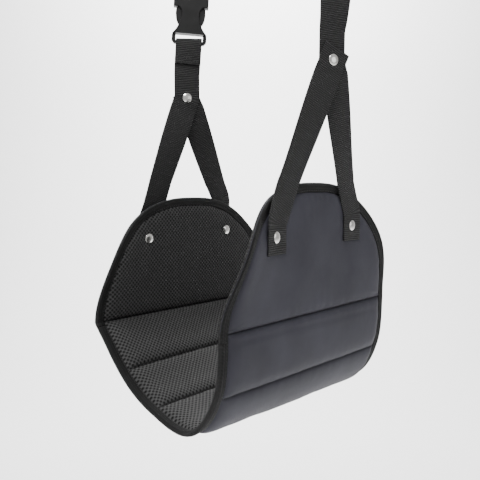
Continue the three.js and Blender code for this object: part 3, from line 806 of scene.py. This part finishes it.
# ---- rivets -------------------------------------------------------------------------------------
def rivet(name, centre, axis, body, *nodes):
    """A double-cap rivet's head: a low dome with a rolled rim, its flat side at centre."""
    profile_points = [(0.0, 1.75), (1.2, 1.72), (2.4, 1.6), (3.5, 1.36), (4.4, 1.0), (5.0, 0.72),
                      (5.35, 0.5), (5.5, 0.28), (5.45, 0.1), (5.2, 0.0), (0.0, 0.0)]
    axis = np.array(axis, float)
    side = np.cross(axis, (0.0, 0.0, 1.0))
    side /= np.linalg.norm(side)
    up = np.cross(axis, side)
    turns = np.linspace(0, 2 * np.pi, 49)[:-1]
    rings = [[centre + axis * h + (side * math.cos(a) + up * math.sin(a)) * max(r, 0.01) for a in turns]
             for r, h in profile_points]
    obj = tube(name, rings, list(range(len(rings))), NICKEL)
    return finish_piece(obj, "rivet_steel", body, *nodes)


CAP_AT, BACK_AT = TAB_OUT + WEB_THICK / 2 + CLEAR, REST + BULGE + SKIN + CLEAR
for wall, (side, (x, z)) in WALLS.items():
    for place, (y, up, _, _) in LEGS[wall].items():
        for head, offset, way in (("cap", CAP_AT, 1), ("back", -BACK_AT, -1)):
            centre = np.array([x + side * (offset - way * CLEAR), y, z + up])
            rivet(f"{wall}_{place}_rivet_{head}_head", centre, (side * way, 0, 0), f"{wall}_wall",
                  f"{wall}_{place}_rivet_{head}")
    apex, face = np.array(STRAPS[wall]["apex"]), face_direction(STRAPS[wall]["turn"][0][1])
    for head, way in (("cap", 1), ("back", -1)):
        centre = apex + face * way * (STACK + WEB_THICK / 2)
        rivet(f"{wall}_apex_rivet_{head}_head", centre, face * way, f"{wall}_straps",
              f"{wall}_apex_rivet_{head}")


# ---- stitching ----------------------------------------------------------------------------------
STITCH_RADIUS, STITCH_LENGTH, STITCH_PITCH = 0.32, 2.2, 3.0
# The rings of a stitch: (share of its length, share of its radius, mm off the cloth).
STITCH_RINGS = ((0.0, 0.35, -0.25), (0.25, 1.0, 0.1), (0.75, 1.0, 0.1), (1.0, 0.35, -0.25))


def stitches(name, lines, body):
    """Separate stitches along lines, each a list of (point, normal), lying on the cloth."""
    verts, faces = [], []
    for line in lines:
        points = np.array([p for p, _ in line])
        normals = np.array([n for _, n in line])
        reach = np.concatenate([[0], np.cumsum(np.linalg.norm(np.diff(points, axis=0), axis=1))])
        for middle in np.arange(STITCH_PITCH / 2, reach[-1] - STITCH_PITCH / 4, STITCH_PITCH):
            ends = [np.array([np.interp(middle + e, reach, points[:, i]) for i in range(3)])
                    for e in (-STITCH_LENGTH / 2, STITCH_LENGTH / 2)]
            normal = np.array([np.interp(middle, reach, normals[:, i]) for i in range(3)])
            run = ends[1] - ends[0]
            run /= np.linalg.norm(run)
            side = np.cross(run, normal)
            side /= np.linalg.norm(side)
            first = len(verts)
            for share, size, lift in STITCH_RINGS:
                at = ends[0] + (ends[1] - ends[0]) * share + normal * lift
                for a in np.linspace(0, 2 * np.pi, 7)[:-1]:
                    out = side * math.cos(a) + normal * math.sin(a)
                    verts.append(at + out * STITCH_RADIUS * size)
            faces += [tuple(i + first for i in f) for f in quads(4, 6, wrap=True)]
            faces += [tuple(first + i for i in range(5, -1, -1)), tuple(first + 18 + i for i in range(6))]
    finish_piece(new_object(name, np.array(verts), faces, THREAD), "binding_tape", body)


def seam_lines():
    lines = []
    for k in range(1, len(SEAMS) - 1):
        for side in (1, -1):
            _, normal = profile(k, 0.0)
            out = np.array([normal[0], 0, normal[1]]) * side
            ys = np.linspace(-HALF_WIDTH + 10, HALF_WIDTH - 10, 60)
            lines.append([(floor_point(k, 0.0, y, side * (REST + SKIN + THREAD_LIFT)), out) for y in ys])
    return lines


def floor_tape_lines():
    lines = []
    for end in (-1, 1):
        for side in (1, -1):
            line = []
            for k, share, _, distance in STATIONS:
                _, normal = profile(k, share)
                out = np.array([normal[0], 0, normal[1]]) * side
                if TAPE_END < distance < STATIONS[-1][3] - TAPE_END:
                    at = floor_point(k, share, end * (HALF_WIDTH - STITCH_IN), side * STITCH_OUT)
                    line.append((at, out))
            lines.append(line)
    return lines


def wall_tape_lines(wall):
    lines = []
    for side in (1, -1):
        line = []
        for angle in np.linspace(0.06, np.pi - 0.06, 160):
            (y0, s0), (y1, s1) = outline(angle - 0.02), outline(angle + 0.02)
            run = np.array([y1 - y0, s1 - s0]) / math.hypot(y1 - y0, s1 - s0)
            y, s = outline(angle)
            at = (y + run[1] * STITCH_IN, s - run[0] * STITCH_IN)
            out = np.array([WALLS[wall][0] * side, 0.0, 0.0])
            line.append((wall_point(wall, *at, side * STITCH_OUT), out))
        lines.append(line)
    return lines


def box_stitch(strap, low, high, offset, face_sign):
    """A sewn box with a cross in it between two heights of a strap, offset mm towards its face."""
    inset = 3.2
    half = WEB_WIDTH / 2 - inset
    corners = [(-half, low), (half, low), (half, high), (-half, high), (-half, low), (half, high)]
    runs = [corners, [(half, low), (-half, high)]]
    lines = []
    for run in runs:
        line = []
        for (u0, z0), (u1, z1) in zip(run, run[1:]):
            for share in np.linspace(0, 1, 12):
                u, z = u0 + (u1 - u0) * share, z0 + (z1 - z0) * share
                azimuth = strap_azimuth(strap, z)
                face = face_direction(azimuth)
                at = strap_line(strap, z) + width_direction(azimuth) * u + face * offset
                line.append((at, face * face_sign))
        lines.append(line)
    return lines


stitches("stitching_of_floor", seam_lines() + floor_tape_lines(), "seat")
for wall in WALLS:
    stitches(f"stitching_of_{wall}_wall", wall_tape_lines(wall), f"{wall}_wall")
FOLD_FACE = 1.8 + WEB_THICK / 2 + THREAD_LIFT
LOOP_BACK = -WEB_LAYER - WEB_THICK / 2 - THREAD_LIFT
LOOP_FRONT = WEB_THICK / 2 + THREAD_LIFT
left, right = STRAPS["left"], STRAPS["right"]
stitches("stitching_of_left_fold", box_stitch(left, 270, 279, FOLD_FACE, 1), "left_straps")
for name, strap, body in (("left", left, "upper_left"), ("right", right, "right_straps")):
    lines = box_stitch(strap, 418, 434, LOOP_BACK, -1) + box_stitch(strap, 418, 434, LOOP_FRONT, 1)
    stitches(f"stitching_of_{name}_loop", lines, body)


# ---- buckle -------------------------------------------------------------------------------------
for node in ("buckle_socket", "buckle_plug", "buckle_prong_near", "buckle_prong_far"):
    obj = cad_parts[node]
    for place in obj.material_slots:
        place.material = PLASTIC
    bevel = obj.modifiers.new("edges", "BEVEL")
    bevel.width = 0.0005
    bevel.segments = 3
    bevel.limit_method = "ANGLE"
    bevel.angle_limit = math.radians(50)


# ---- camera, light and backdrop -----------------------------------------------------------------
def add_camera():
    data = bpy.data.cameras.new("camera")
    data.lens = 45.0
    data.sensor_width = 36.0
    data.clip_start = 0.01
    camera = bpy.data.objects.new("camera", data)
    right = Vector((0.73832, 0.67445, 0.0)).normalized()
    forward = Vector((-0.67212, 0.73577, -0.08305)).normalized()
    up = right.cross(forward)
    place = Matrix((right, up, -forward)).transposed().to_4x4()
    place.translation = Vector((0.4181, -0.5015, -0.3773))
    camera.matrix_world = place
    bpy.context.scene.collection.objects.link(camera)
    bpy.context.scene.camera = camera


def add_area(name, place, target, size, power):
    data = bpy.data.lights.new(name, "AREA")
    data.shape = "DISK"
    data.size = size
    data.energy = power
    light = bpy.data.objects.new(name, data)
    light.location = place
    aim = Vector(target) - Vector(place)
    light.rotation_euler = aim.to_track_quat("-Z", "Y").to_euler()
    bpy.context.scene.collection.objects.link(light)


def add_backdrop():
    """A floor that sweeps up behind the object as seen by the camera."""
    back = Vector((-0.67445, 0.73832, 0.0))
    across = Vector((0.73832, 0.67445, 0.0))
    profile_line = [(-14.0, -1.15), (1.2, -1.15)]
    sweep = np.linspace(0.1, np.pi / 2, 16)
    profile_line += [(1.2 + 1.4 * math.sin(a), 0.25 - 1.4 * math.cos(a)) for a in sweep]
    profile_line += [(2.6, 4.0)]
    verts = [back * run + across * x + Vector((0, 0, z)) for run, z in profile_line for x in (-14.0, 14.0)]
    mesh = bpy.data.meshes.new("backdrop")
    mesh.from_pydata([tuple(v) for v in verts], [], quads(len(profile_line), 2))
    mesh.polygons.foreach_set("use_smooth", [True] * len(mesh.polygons))
    look = Look("backdrop", grey(0.85), 0.9)
    shade = look.noise(look.coords("Object"), 0.6, 1.0)
    look.done(look.ramp(shade, (0.3, grey(0.83)), (0.7, grey(0.88))))
    mesh.materials.append(look.material)
    backdrop = bpy.data.objects.new("backdrop", mesh)
    bpy.context.scene.collection.objects.link(backdrop)


def add_world():
    world = bpy.data.worlds.new("studio")
    world.use_nodes = True
    background = world.node_tree.nodes["Background"]
    background.inputs["Color"].default_value = (1.0, 0.99, 0.99, 1)
    background.inputs["Strength"].default_value = 0.5
    bpy.context.scene.world = world


add_camera()
add_world()
add_backdrop()
TARGET = (0.0, 0.0, -0.42)
add_area("key", (0.7, -1.0, 1.2), TARGET, 0.7, 22)
add_area("fill", (1.5, 0.2, -0.1), TARGET, 1.0, 3)
add_area("inside", (-0.3, -0.8, 1.25), TARGET, 0.6, 24)
add_area("backdrop_light", (-0.75, 0.85, 1.3), (-1.75, 1.9, -0.4), 1.0, 205)
